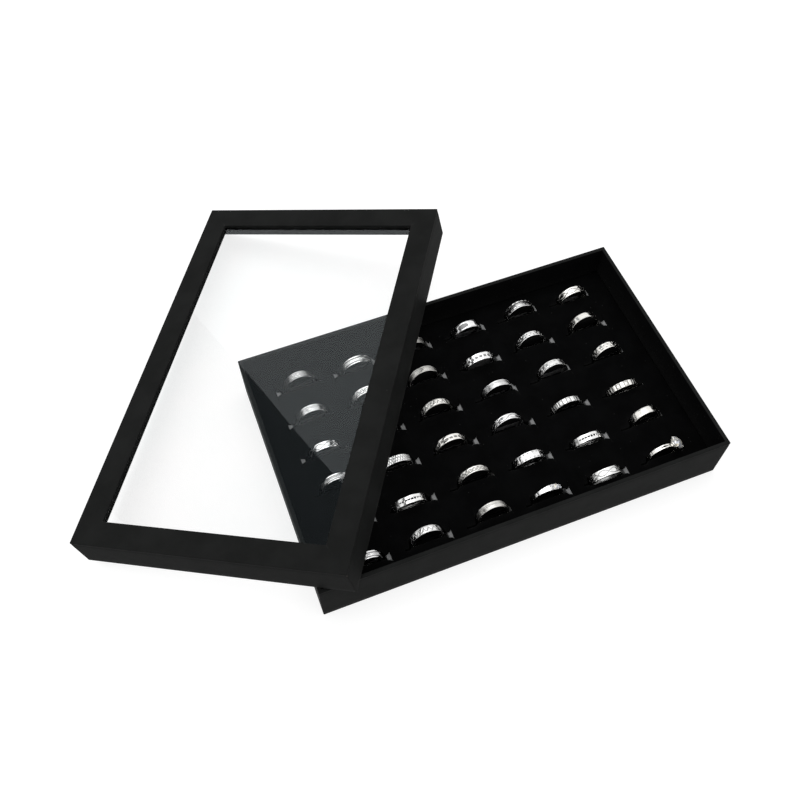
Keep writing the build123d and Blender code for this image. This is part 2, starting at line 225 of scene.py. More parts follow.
def frame_loop(half_x, half_y, radius, stations_x, stations_y, corner_steps=4):
    """Rectangle with rounded corners. The stations are shares of each straight side."""
    quarters = [(1, 1, stations_x), (-1, 1, stations_y), (-1, -1, stations_x), (1, -1, stations_y)]

    def on_corner(quarter, angle):
        side_x, side_y, _ = quarters[quarter % 4]
        centre = np.array((side_x * (half_x - radius), side_y * (half_y - radius)))
        return centre + radius * np.array((math.cos(angle), math.sin(angle)))

    loop = []
    for q, (_, _, stations) in enumerate(quarters):
        loop += [on_corner(q, (q + i / corner_steps) * math.pi / 2) for i in range(corner_steps + 1)]
        start = loop[-1]
        end = on_corner(q + 1, (q + 1) * math.pi / 2)
        loop += [start + (end - start) * s for s in stations]
    return np.array(loop)


def smooth_noise(points, pitch, seed):
    """Soft random numbers from -1 to 1, the same each run, from a few crossed waves."""
    source = np.random.default_rng(seed)
    total = np.zeros(len(points))
    for _ in range(6):
        direction = source.normal(size=3)
        direction *= 2 * math.pi / (pitch * np.linalg.norm(direction) * source.uniform(0.7, 1.6))
        total += np.sin(points @ direction + source.uniform(0, 6.28))
    return total / 6


def hand_over(piece, slot_name, *nodes):
    """The piece stands for these CAD nodes, which are hidden. slot_name is not used."""
    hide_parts(*nodes)


# ---------------------------------------------------------------- shader helpers
class Nodes:
    """Short ways to add and join nodes in one tree."""

    def __init__(self, tree):
        self.tree = tree

    def add(self, kind, **settings):
        node = self.tree.nodes.new(kind)
        for name, value in settings.items():
            setattr(node, name, value)
        return node

    def join(self, source, target):
        self.tree.links.new(source, target)

    def put(self, value, socket):
        if isinstance(value, bpy.types.NodeSocket):
            self.join(value, socket)
        else:
            socket.default_value = value

    def maths(self, operation, a, b=0.0, clamp=False):
        node = self.add("ShaderNodeMath", operation=operation, use_clamp=clamp)
        self.put(a, node.inputs[0])
        self.put(b, node.inputs[1])
        return node.outputs[0]

    def noise(self, where, scale, detail=3.0, roughness=0.55):
        node = self.add("ShaderNodeTexNoise")
        self.join(where, node.inputs["Vector"])
        self.put(scale, node.inputs["Scale"])
        node.inputs["Detail"].default_value = detail
        node.inputs["Roughness"].default_value = roughness
        return node.outputs["Fac"]

    def remap(self, value, low, high, to_low=0.0, to_high=1.0):
        node = self.add("ShaderNodeMapRange")
        node.interpolation_type = "SMOOTHSTEP"
        limits = {"Value": value, "From Min": low, "From Max": high, "To Min": to_low, "To Max": to_high}
        for socket, number in limits.items():
            self.put(number, node.inputs[socket])
        return node.outputs["Result"]

    def blend(self, share, a, b):
        node = self.add("ShaderNodeMix", data_type="RGBA")
        self.put(share, node.inputs["Factor"])
        self.put(a, node.inputs[6])
        self.put(b, node.inputs[7])
        return node.outputs[2]

    def use(self, group, **values):
        node = self.add("ShaderNodeGroup")
        node.node_tree = group
        for name, value in values.items():
            self.put(value, node.inputs[name.replace("_", " ")])
        return node.outputs


def new_group(name, inputs, outputs):
    """A node group with its sockets, given as name: (kind, default)."""
    tree = bpy.data.node_groups.new(name, "ShaderNodeTree")
    for label, (kind, default) in inputs.items():
        socket = tree.interface.new_socket(label, in_out="INPUT", socket_type=f"NodeSocket{kind}")
        if default is not None:
            socket.default_value = default
    for label, kind in outputs.items():
        tree.interface.new_socket(label, in_out="OUTPUT", socket_type=f"NodeSocket{kind}")
    nodes = Nodes(tree)
    return tree, nodes, nodes.add("NodeGroupInput").outputs, nodes.add("NodeGroupOutput").inputs


def surface_grain_group():
    """Fine grain with a broad cloudiness over it: paper fibre, foam cells or brushed metal."""
    tree, n, given, out = new_group(
        "surface_grain",
        {"Where": ("Vector", None), "Fine Scale": ("Float", 4000.0), "Broad Scale": ("Float", 90.0)},
        {"Grain": "Float", "Cloud": "Float", "Height": "Float"},
    )
    fine = n.noise(given["Where"], given["Fine Scale"], 4.0, 0.65)
    broad = n.noise(given["Where"], given["Broad Scale"], 3.0)
    n.join(n.remap(fine, 0.3, 0.7), out["Grain"])
    n.join(n.remap(broad, 0.32, 0.68), out["Cloud"])
    n.join(n.maths("ADD", fine, n.maths("MULTIPLY", broad, 0.6)), out["Height"])
    return tree


def rubbed_fold_group():
    """Where a fold or an edge has been rubbed: a mask that breaks up along its length."""
    tree, n, given, out = new_group(
        "rubbed_fold",
        {"Where": ("Vector", None), "Mark": ("Float", 0.0), "Reach": ("Float", 0.5)},
        {"Mask": "Float"},
    )
    patches = n.remap(n.noise(given["Where"], 260.0, 4.0), 0.38, 0.66)
    worn = n.remap(given["Mark"], n.maths("SUBTRACT", 1.0, given["Reach"]), 1.0)
    n.join(n.maths("MULTIPLY", worn, patches, clamp=True), out["Mask"])
    return tree


def stray_specks_group():
    """A few stray specks of lint and dust."""
    tree, n, given, out = new_group(
        "stray_specks",
        {
            "Where": ("Vector", None), "Scale": ("Float", 120.0),
            "Size": ("Float", 0.06), "Share": ("Float", 0.1),
        },
        {"Mask": "Float"},
    )
    cells = n.add("ShaderNodeTexVoronoi")
    n.join(given["Where"], cells.inputs["Vector"])
    n.join(given["Scale"], cells.inputs["Scale"])
    near = n.maths("LESS_THAN", cells.outputs["Distance"], given["Size"])
    split = n.add("ShaderNodeSeparateColor")
    n.join(cells.outputs["Color"], split.inputs[0])
    chosen = n.maths("LESS_THAN", split.outputs[0], given["Share"])
    n.join(n.maths("MULTIPLY", near, chosen), out["Mask"])
    return tree


GRAIN = surface_grain_group()
RUBBED = rubbed_fold_group()
SPECKS = stray_specks_group()


def new_material(name):
    """A material with one Principled shader. Returns it, its nodes, the shader and the place."""
    material = bpy.data.materials.new(name)
    material.use_nodes = True
    nodes = Nodes(material.node_tree)
    shader = material.node_tree.nodes["Principled BSDF"]
    where = nodes.add("ShaderNodeTexCoord").outputs["Object"]
    return material, nodes, shader, where


def mark_of(nodes, name="mark"):
    return nodes.add("ShaderNodeAttribute", attribute_name=name)


def add_bump(nodes, shader, height, strength, distance):
    bump = nodes.add("ShaderNodeBump")
    bump.inputs["Strength"].default_value = strength
    bump.inputs["Distance"].default_value = distance
    nodes.join(height, bump.inputs["Height"])
    nodes.join(bump.outputs["Normal"], shader.inputs["Normal"])


def set_plain(shader, **values):
    for name, value in values.items():
        shader.inputs[name.replace("_", " ")].default_value = value


def grey(level, tint=(1.0, 1.0, 1.0)):
    return (level * tint[0], level * tint[1], level * tint[2], 1.0)


# ---------------------------------------------------------------- materials
def black_paper():
    """Dyed wrapping paper: close-grained, matt, a little greyer where a fold is rubbed."""
    material, n, shader, where = new_material("black_paper")
    grain = n.use(GRAIN, Where=where, Fine_Scale=2600.0, Broad_Scale=55.0)
    rubbed = n.use(RUBBED, Where=where, Mark=mark_of(n).outputs["Fac"], Reach=0.6)["Mask"]
    specks = n.use(SPECKS, Where=where, Scale=160.0, Size=0.035, Share=0.05)["Mask"]
    ground = n.blend(grain["Cloud"], grey(0.0115, (0.95, 1.0, 0.97)), grey(0.0158, (0.96, 1.0, 0.98)))
    fibre = n.blend(n.maths("MULTIPLY", grain["Grain"], 0.3), ground, grey(0.024))
    worn = n.blend(n.maths("MULTIPLY", rubbed, 0.35), fibre, grey(0.042))
    n.join(n.blend(n.maths("MULTIPLY", specks, 0.5), worn, grey(0.09)), shader.inputs["Base Color"])
    n.join(n.remap(grain["Grain"], 0.0, 1.0, 0.5, 0.64), shader.inputs["Roughness"])
    set_plain(shader, Specular_IOR_Level=0.012)
    add_bump(n, shader, grain["Height"], 0.35, 0.00006)
    return material


def corner_tape():
    """Kraft tape that holds a box corner."""
    material, n, shader, where = new_material("stay_tape")
    grain = n.use(GRAIN, Where=where, Fine_Scale=1800.0, Broad_Scale=120.0)
    kraft = n.blend(grain["Grain"], grey(0.3, (1.0, 0.8, 0.55)), grey(0.4, (1.0, 0.84, 0.62)))
    n.join(kraft, shader.inputs["Base Color"])
    n.join(n.remap(grain["Cloud"], 0.0, 1.0, 0.5, 0.7), shader.inputs["Roughness"])
    add_bump(n, shader, grain["Height"], 0.3, 0.00005)
    return material


def grey_board():
    """Pulp board: grey with paler and darker fibres."""
    material, n, shader, where = new_material("grey_board")
    grain = n.use(GRAIN, Where=where, Fine_Scale=1500.0, Broad_Scale=200.0)
    specks = n.use(SPECKS, Where=where, Scale=500.0, Size=0.2, Share=0.2)["Mask"]
    pulp = n.blend(grain["Grain"], grey(0.19, (1.0, 0.97, 0.92)), grey(0.3, (1.0, 0.97, 0.92)))
    n.join(n.blend(n.maths("MULTIPLY", specks, 0.5), pulp, grey(0.1)), shader.inputs["Base Color"])
    n.join(n.remap(grain["Cloud"], 0.0, 1.0, 0.8, 0.95), shader.inputs["Roughness"])
    add_bump(n, shader, grain["Height"], 0.4, 0.0001)
    return material


def grey_foam():
    """Closed-cell foam under the velvet, its cut cells open at the slots' ends, with painted shade in
    their pits.
    """
    material, n, shader, where = new_material("grey_foam")
    grain = n.use(GRAIN, Where=where, Fine_Scale=1900.0, Broad_Scale=300.0)
    cells = n.add("ShaderNodeTexVoronoi")
    n.join(where, cells.inputs["Vector"])
    cells.inputs["Scale"].default_value = 2400.0
    ground = n.blend(grain["Grain"], grey(0.22, (0.98, 0.99, 1.0)), grey(0.32, (0.98, 0.99, 1.0)))
    # Painted shade: darker towards the middle of each cut cell, where its open pit is.
    pit_shade_fade = n.remap(cells.outputs["Distance"], 0.0, 0.3)
    n.join(n.blend(pit_shade_fade, grey(0.14), ground), shader.inputs["Base Color"])
    n.join(n.remap(grain["Cloud"], 0.0, 1.0, 0.8, 1.0), shader.inputs["Roughness"])
    set_plain(shader, Specular_IOR_Level=0.1)
    add_bump(n, shader, cells.outputs["Distance"], 0.5, 0.00012)
    return material


def black_velvet():
    """Short flock: almost no light comes back, but for its brushed nap and lint, and a painted sheen on
    its bent lips.
    """
    material, n, shader, where = new_material("black_velvet")
    grain = n.use(GRAIN, Where=where, Fine_Scale=3200.0, Broad_Scale=70.0)
    lip = mark_of(n).outputs["Fac"]
    specks = n.use(SPECKS, Where=where, Scale=400.0, Size=0.08, Share=0.15)["Mask"]
    nap = n.blend(grain["Cloud"], grey(0.0023, (0.92, 0.95, 1.0)), grey(0.0038, (0.92, 0.95, 1.0)))
    piled = n.blend(n.maths("MULTIPLY", grain["Grain"], 0.3), nap, grey(0.006))
    # Painted sheen: lighter where the velvet rolls over a slit's lip, as if its bent pile caught the
    # light.
    lip_painted_sheen = n.blend(n.maths("MULTIPLY", lip, 0.5), piled, grey(0.011))
    n.join(n.blend(n.maths("MULTIPLY", specks, 0.35), lip_painted_sheen, grey(0.12)), shader.inputs["Base Color"])
    n.join(n.remap(grain["Grain"], 0.0, 1.0, 0.9, 1.0), shader.inputs["Roughness"])
    set_plain(shader, Specular_IOR_Level=0.0, Sheen_Weight=0.012, Sheen_Roughness=0.4)
    add_bump(n, shader, grain["Height"], 0.6, 0.0002)
    return material


def clear_film():
    """Thin clear sheet: a smooth reflection, a few scuffs, and lamps shine through it."""
    material, n, shader, where = new_material("clear_film")
    grain = n.use(GRAIN, Where=where, Fine_Scale=700.0, Broad_Scale=14.0)
    n.join(n.remap(grain["Cloud"], 0.2, 1.0, 0.006, 0.012), shader.inputs["Roughness"])
    n.join(n.blend(grain["Cloud"], grey(0.985, (0.98, 1.0, 1.0)), grey(1.0)), shader.inputs["Base Color"])
    set_plain(shader, IOR=1.355, Transmission_Weight=1.0, Specular_Tint=grey(1.0, (0.87, 0.96, 1.0)))
    path = n.add("ShaderNodeLightPath").outputs
    lamp_rays = n.maths("MAXIMUM", path["Is Shadow Ray"], path["Is Diffuse Ray"])
    through = n.add("ShaderNodeBsdfTransparent")
    through.inputs["Color"].default_value = grey(0.95)
    mixed = n.add("ShaderNodeMixShader")
    n.join(lamp_rays, mixed.inputs[0])
    n.join(shader.outputs[0], mixed.inputs[1])
    n.join(through.outputs[0], mixed.inputs[2])
    n.join(mixed.outputs[0], material.node_tree.nodes["Material Output"].inputs["Surface"])
    return material


def steel(name, bright, tint, smoothness):
    """Polished steel, dark in its engraved lines, with fine scratches along the band and
    painted shade darkening the ring's bore."""
    material, n, shader, _ = new_material(name)
    along = mark_of(n, "along").outputs["Vector"]
    engraved = mark_of(n).outputs["Fac"]
    stretch = n.add("ShaderNodeMapping")
    n.join(along, stretch.inputs["Vector"])
    stretch.inputs["Scale"].default_value = (0.12, 1.0, 1.0)
    brushed = n.use(GRAIN, Where=stretch.outputs[0], Fine_Scale=7.0, Broad_Scale=0.5)
    rubbed = n.use(RUBBED, Where=along, Mark=engraved, Reach=0.9)["Mask"]
    metal = n.blend(brushed["Cloud"], grey(bright * 0.93, tint), grey(bright, tint))
    scratched = n.blend(n.maths("MULTIPLY", brushed["Grain"], 0.14), metal, grey(bright * 0.6, tint))
    cut = n.maths("MULTIPLY", n.maths("MAXIMUM", engraved, rubbed), 0.8)
    dark = n.blend(cut, scratched, grey(0.1, tint))
    # Painted shade in the bore: the inside of the band is darkened towards grey 0.14.
    split = n.add("ShaderNodeSeparateXYZ")
    n.join(along, split.inputs[0])
    bore_painted_shade = n.maths("MULTIPLY", n.remap(split.outputs["Z"], 0.9, 1.0), 0.75)
    n.join(n.blend(bore_painted_shade, dark, grey(0.14, tint)), shader.inputs["Base Color"])
    n.join(n.remap(engraved, 0.0, 1.0, smoothness, 0.5), shader.inputs["Roughness"])
    set_plain(shader, Metallic=1.0)
    add_bump(n, shader, brushed["Height"], 0.12, 0.00003)
    return material


def clear_stone():
    """Cut stone with painted light: a near-white ground for the light it returns, flashes of blue and
    straw fire, and a few facets painted dark as reflections.
    """
    material, n, shader, where = new_material("clear_stone")
    grain = n.use(GRAIN, Where=where, Fine_Scale=900.0, Broad_Scale=350.0)
    # Painted fire: random facet cells take flashes of straw and blue, as dispersed light would show.
    fire_flash_cells = n.add("ShaderNodeTexVoronoi")
    n.join(where, fire_flash_cells.inputs["Vector"])
    fire_flash_cells.inputs["Scale"].default_value = 900.0
    split = n.add("ShaderNodeSeparateColor")
    n.join(fire_flash_cells.outputs["Color"], split.inputs[0])
    warm = n.remap(split.outputs[0], 0.55, 0.75)
    cool = n.remap(split.outputs[1], 0.6, 0.8)
    # A near-white ground, painted in for the light the cut sends back.
    white = n.blend(grain["Cloud"], grey(0.93, (1.0, 0.99, 0.95)), grey(1.0, (0.96, 0.98, 1.0)))
    painted_straw_fire = n.blend(warm, white, grey(0.9, (1.0, 0.93, 0.72)))
    painted_blue_fire = n.blend(cool, painted_straw_fire, grey(0.92, (0.78, 0.84, 1.0)))
    # Painted reflection: a few facet cells are dark, as facets that mirror the dark velvet.
    dark_facet_reflection = n.maths("MULTIPLY", n.remap(split.outputs[2], 0.82, 0.95), 0.75)
    n.join(n.blend(dark_facet_reflection, painted_blue_fire, grey(0.2, (0.95, 0.97, 1.0))), shader.inputs["Base Color"])
    n.join(n.remap(grain["Grain"], 0.0, 1.0, 0.0, 0.02), shader.inputs["Roughness"])
    set_plain(shader, IOR=2.3, Metallic=0.35, Transmission_Weight=0.1)
    return material


PAPER_FINISH = black_paper()
TAPE_FINISH = corner_tape()
BOARD_FINISH = grey_board()
FOAM_FINISH = grey_foam()
VELVET_FINISH = black_velvet()
FILM_FINISH = clear_film()
STONE_FINISH = clear_stone()
STEELS = [
    steel("bright_steel", 0.97, (1.0, 1.0, 1.0), 0.15),
    steel("satin_steel", 0.93, (1.0, 1.0, 0.99), 0.21),
    steel("warm_steel", 0.95, (1.0, 0.985, 0.94), 0.18),
]


# ---------------------------------------------------------------- paper wraps
def with_hollow(section):
    """The outer face of a wall, with the shallow hollow that glued paper has under a fold."""
    eased = [section[0]]
    for a, b in zip(section, section[1:]):
        if abs(a[0]) + abs(b[0]) < 0.001 and a[1] - b[1] > 5:
            top = a[1] + FOLD_RADIUS
            depths = [0.9, 1.3, 1.7, 2.2, 2.8, 3.6, *np.arange(6, top - b[1] - 2, 4)]
            eased += [np.array((HOLLOW * math.exp(-((d - 1.7) / 0.8) ** 2), top - d)) for d in depths]
        eased.append(b)
    return eased


def wrapped_shell(name, corners, radii, half_x, half_y, place, body, seed):
    """A folded paper shell. The corners run once across the wall, as distances from the
    outer face and heights, with the board on their left. The paper's other side follows."""
    outer = with_hollow(rounded_path(corners, radii))
    inner = rounded_path(shifted(corners, PAPER), [r - PAPER for r in radii])
    section = np.array(outer + inner[::-1])
    folded = [1 - abs(math.cos(2 * a)) for a in section_angles(section)]
    shares_x = side_shares(2 * half_x)
    shares_y = side_shares(2 * half_y)
    loops, wear = [], []
    for i, (inset, height) in enumerate(section):
        radius = max(FOLD_RADIUS - inset, 0.3)
        loop = frame_loop(half_x - inset, half_y - inset, radius, shares_x, shares_y)
        on_edge = i < len(outer) and (inset < HOLLOW or abs(inset - LID_BORDER) < 0.6)
        edge = corner_nearness(loop, half_x - inset, half_y - inset) * on_edge
        loops.append(slackened(loop, inset, height, seed))
        wear.append(np.maximum(folded[i] * (i < len(outer)), edge))
    points = np.concatenate(loops)
    faces = turned_over(grid_faces(len(section), len(loops[0])))
    world = points @ np.array(place.to_3x3()).T + np.array(place.translation)
    return new_piece(name, world, faces, PAPER_FINISH, body, mark=np.concatenate(wear))


def slackened(loop, inset, height, seed):
    """A loop of the shell at its height, with the slight slackness of glued paper."""
    points = np.column_stack([loop, np.full(len(loop), height)])
    slack = SLACK * (0.5 + 0.5 * smooth_noise(points, 70.0, seed))
    if inset < HOLLOW:
        on_side = np.abs(loop) > np.abs(loop).max(axis=0) - 1
        points[:, :2] -= np.sign(points[:, :2]) * slack[:, None] * on_side
    elif abs(height) < 0.01 and inset > WALL:
        points[:, 2] -= slack
    return points


def side_shares(length):
    """Where the points of one side are, as shares of its length."""
    return [s / length for s in side_stations(length, 7.0, (0.7, 0.85, 1.0, 1.15, 3.0))]


def section_angles(section):
    """The direction of the section at each of its points, in radians."""
    ahead = np.roll(section, -1, axis=0) - np.roll(section, 1, axis=0)
    return np.arctan2(ahead[:, 1], ahead[:, 0])


def corner_nearness(loop, half_x, half_y):
    """1 at an upright corner, falling to 0 within a millimetre."""
    gap = np.maximum(half_x - np.abs(loop[:, 0]), half_y - np.abs(loop[:, 1]))
    return np.clip(1 - gap / 1.0, 0, 1)


def node_points(name):
    return np.array([v.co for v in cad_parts[name].data.vertices]) / MM


def lid_placement():
    """The lid's own frame in millimetres: its short side, long side and upward direction,
    and the middle of its top face, read from its flat window film."""
    corners = np.unique(np.round(node_points("lid_window"), 3), axis=0)
    centre = corners.mean(axis=0)
    _, axes = np.linalg.eigh(np.cov((corners - centre).T))
    up, _, along = (Vector(axes[:, i]) for i in range(3))
    up = up if up.z > 0 else -up
    along = along if along.y > 0 else -along
    short = along.cross(up)
    top = Vector(centre) + up * (FRAME_DEPTH + FILM / 2)
    return Matrix.Translation(top) @ Matrix((short, along, up)).transposed().to_4x4()


def local_points(name, place):
    back = place.inverted()
    return np.array([back @ Vector(p) for p in node_points(name)])


LID = lid_placement()
lid_wrap_points = local_points("lid_wrap", LID)
LID_HALF_X, LID_HALF_Y, _ = lid_wrap_points.max(axis=0)
LID_DEPTH = -lid_wrap_points[:, 2].min()
tray_wrap_points = node_points("tray_wrap")
TRAY_HALF_X, TRAY_HALF_Y, TRAY_HEIGHT = tray_wrap_points.max(axis=0)


def make_tray_wrap():
    """The tray's paper, with the velvet's near-black finish on the inside of its walls as painted shade.
    """
    corners = [(WALL, LINER_TOP), (WALL, TRAY_HEIGHT), (0, TRAY_HEIGHT), (0, 0)]
    piece = wrapped_shell(
        "tray_paper_wrap", corners, [0.5, FOLD_RADIUS], TRAY_HALF_X, TRAY_HALF_Y,
        Matrix.Identity(4), "tray", 3,
    )
    # Painted shade: the inner walls take the velvet finish, darker than their paper.
    piece.data.materials.append(VELVET_FINISH)
    for face in piece.data.polygons:
        x, y, _ = (abs(c) / MM for c in face.center)
        if min(TRAY_HALF_X - x, TRAY_HALF_Y - y) > WALL - 0.01:
            face.material_index = 1
    hand_over(piece, "black_paper", "tray_wrap")


def make_lid_wrap():
    corners = [
        (TURN_IN_START, -FRAME_DEPTH), (LID_BORDER, -FRAME_DEPTH), (LID_BORDER, 0), (0, 0),
        (0, -LID_DEPTH), (WALL, -LID_DEPTH), (WALL, -FRAME_DEPTH),
    ]
    radii = [0.35, 0.45, FOLD_RADIUS, 0.5, 0.5]
    piece = wrapped_shell("lid_paper_wrap", corners, radii, LID_HALF_X, LID_HALF_Y, LID, "lid", 5)
    hand_over(piece, "black_paper", "lid_wrap")


# ---------------------------------------------------------------- window film
def make_film():
    """Both sides of the film, with the slight waves of a sheet glued along its edges."""
    half_x, half_y, _ = local_points("lid_window", LID).max(axis=0)
    columns, rows = 29, 41
    wave_height, glued_reach = 0.05, 25
    x, y = np.meshgrid(np.linspace(-half_x, half_x, columns), np.linspace(-half_y, half_y, rows))
    flat = np.column_stack([x.ravel(), y.ravel(), np.zeros(x.size)])
    from_edge = np.minimum(half_x - abs(flat[:, 0]), half_y - abs(flat[:, 1]))
    wave = wave_height * smooth_noise(flat, 90.0, 11) * np.minimum(1, from_edge / glued_reach)
    upper = flat + np.column_stack([np.zeros((len(flat), 2)), wave - FRAME_DEPTH])
    lower = upper - (0, 0, FILM)
    points = np.concatenate([upper, lower])
    count = rows * columns
    faces = grid_faces(rows, columns, False, False)
    faces += turned_over(grid_faces(rows, columns, False, False, count))
    rim = [*range(columns), *range(2 * columns - 1, count, columns)]
    rim += [*range(count - 2, count - columns - 1, -1), *range(count - 2 * columns, 0, -columns)]
    faces += [(a, a + count, b + count, b) for a, b in zip(rim, rim[1:] + rim[:1])]
    world = points @ np.array(LID.to_3x3()).T + np.array(LID.translation)
    piece = new_piece("lid_clear_film", world, faces, FILM_FINISH, "lid")
    hand_over(piece, "clear_film", "lid_window")


# ---------------------------------------------------------------- rings' places
def slot_x(place):
    return (place - (SLOTS_IN_ROW + 1) / 2) * SLOT_PITCH


def row_y(row):
    return ((ROWS + 1) / 2 - row) * ROW_PITCH


def ring_centre(row, place, outer, width, shift, lean):
    """Where the ring's middle is: it stands on the liner and leans against its slot."""
    angle = math.radians(lean)
    height = LINER_TOP + RING_GAP + outer / 2 * math.cos(angle) + width / 2 * abs(math.sin(angle))
    room = SLOT_LENGTH / 2 - RING_GAP - outer / 2
    x = slot_x(place) + max(-room, min(room, shift))
    return np.array((x, row_y(row) + (height - SEAT_SLOPE_HEIGHT) * math.tan(angle), height))


# ---------------------------------------------------------------- pad
def slot_stations():
    """Places along a slot from its left end to its right end, closer together at the ends."""
    half = [0, 0.3, 0.7, 1.2, 1.8, 2.4, 3.0, 3.6, 4.3, 5.0, 5.7, 6.4, 7.2, 8.0, 8.9, 9.9, 11.1, 12.4]
    left = [s - SLOT_LENGTH / 2 for s in half]
    return np.array([*left, 0.0, *[-s for s in reversed(left)]])


def cell_stations():
    return slot_stations() * (SLOT_PITCH / SLOT_LENGTH)


def around(xs, far, near, end_count=8):
    """A closed loop: along the far side, down the right end, back along the near side and
    up the left end. far and near are Y values at xs."""
    right = np.linspace(far[-1], near[-1], end_count + 1)[1:-1]
    left = np.linspace(near[0], far[0], end_count + 1)[1:-1]
    x = np.concatenate([xs, np.full(len(right), xs[-1]), xs[::-1], np.full(len(left), xs[0])])
    y = np.concatenate([far, right, near[::-1], left])
    return np.column_stack([x, y])


def eased(value, start, end):
    """0 at start and 1 at end, with a soft turn at both."""
    t = np.clip((value - start) / (end - start), 0, 1)
    return t * t * (3 - 2 * t)


def slit_sides(ring):
    """The far and near lips of one slit, and where its ring holds them open from 0 to 1. The
    cut is narrow elsewhere, with a cross cut at each end."""
    row, place, _, _, outer, width, shift, lean, _ = ring
    xs = slot_stations()
    centre = ring_centre(row, place, outer, width, shift, lean)
    across = (PAD_TOP - SEAT_SLOPE_HEIGHT) * math.tan(math.radians(lean))
    from_ring = np.abs(xs - (centre[0] - slot_x(place)))
    pushed = 1 - eased(from_ring, outer / 2 + 0.4, outer / 2 + 1.9)
    hold = width / 2 / math.cos(math.radians(lean)) + LIP_GAP
    from_end = SLOT_LENGTH / 2 - np.abs(xs)
    left_share = OPEN_SHARE if (row, place) in OPEN_AT_LEFT else SHUT_SHARE
    right_share = SHUT_SHARE if (row, place) in SHUT_AT_RIGHT else 1.0
    share = np.where(xs < 0, left_share, right_share)
    free_half = share * (SLIT_HALF + CROSS_CUT * np.exp(-from_end / 0.8))
    half = free_half + (hold - free_half) * pushed
    middle = SLOT_OFFSET + (across - SLOT_OFFSET) * pushed
    return xs, middle + half, middle - half, pushed


def pocket_reach(ring):
    """How far the foam pocket runs to the left and to the right of the slot's middle. It
    stops short of an open end, so that the foam shows there."""
    row, place, _, _, outer, width, shift, lean, _ = ring
    middle = ring_centre(row, place, outer, width, shift, lean)[0] - slot_x(place)
    left = POCKET_REACH if (row, place) in OPEN_AT_LEFT else SLOT_LENGTH / 2
    right = SLOT_LENGTH / 2 if (row, place) in SHUT_AT_RIGHT else POCKET_REACH
    room = outer / 2 + RING_GAP
    return max(left, room - middle), max(right, room + middle)


def slab_with_slots(name, half_x, half_y, loops_at, rim, material):
    """A slab with a cell for each slot. loops_at(ring) gives each cell's loops of points,
    from the top surface round the slot's edge to the underside, and rim gives the
    slab's own edge as (outset, height) pairs from top to bottom."""
    points, faces, marks = [], [], []
    box_x, box_y = SLOTS_IN_ROW * SLOT_PITCH / 2, ROWS * ROW_PITCH / 2
    for ring in RINGS:
        loops, lip_sheen_marks = loops_at(ring)
        offset = np.array((slot_x(ring[1]), row_y(ring[0]), 0))
        faces += turned_over(grid_faces(len(loops), len(loops[0]), False, True, sum(map(len, points))))
        points.append(np.concatenate(loops) + offset)
        # Each loop's mark: painted sheen on the velvet's lips, none on the foam.
        marks.append(np.repeat(lip_sheen_marks, len(loops[0])))
    across = [cell_stations() + slot_x(place + 1) for place in range(SLOTS_IN_ROW)]
    xs = np.unique(np.round(np.concatenate(across), 6))
    ys = np.linspace(-box_y, box_y, 8 * ROWS + 1)
    edge = np.concatenate([
        np.column_stack([xs, np.full(len(xs), box_y)]),
        np.column_stack([np.full(len(ys) - 2, box_x), ys[::-1][1:-1]]),
        np.column_stack([xs[::-1], np.full(len(xs), -box_y)]),
        np.column_stack([np.full(len(ys) - 2, -box_x), ys[1:-1]]),
    ])
    loops = [np.column_stack([edge, np.full(len(edge), rim[0][1])])]
    for outset, height in rim[1:-1]:
        scale = np.array(((half_x - outset) / box_x, (half_y - outset) / box_y))
        loops.append(np.column_stack([edge * scale, np.full(len(edge), height)]))
    loops.append(np.column_stack([edge, np.full(len(edge), rim[-1][1])]))
    faces += grid_faces(len(loops), len(edge), False, True, sum(map(len, points)))
    points.append(np.concatenate(loops))
    marks.append(np.zeros(len(loops) * len(edge)))
    piece = new_piece(name, np.concatenate(points), faces, material, "tray", mark=np.concatenate(marks))
    weld(piece)
    return piece


def weld(piece):
    """Joins points that lie on each other."""
    tool = piece.modifiers.new("weld", "WELD")
    tool.merge_threshold = 0.00001
    bpy.context.view_layer.objects.active = piece
    with bpy.context.temp_override(object=piece, active_object=piece):
        bpy.ops.object.modifier_apply(modifier=tool.name)


def cell_rim(top):
    xs = cell_stations()
    half = np.full(len(xs), ROW_PITCH / 2)
    loop = around(xs, half, -half)
    return np.column_stack([loop, np.full(len(loop), top)])


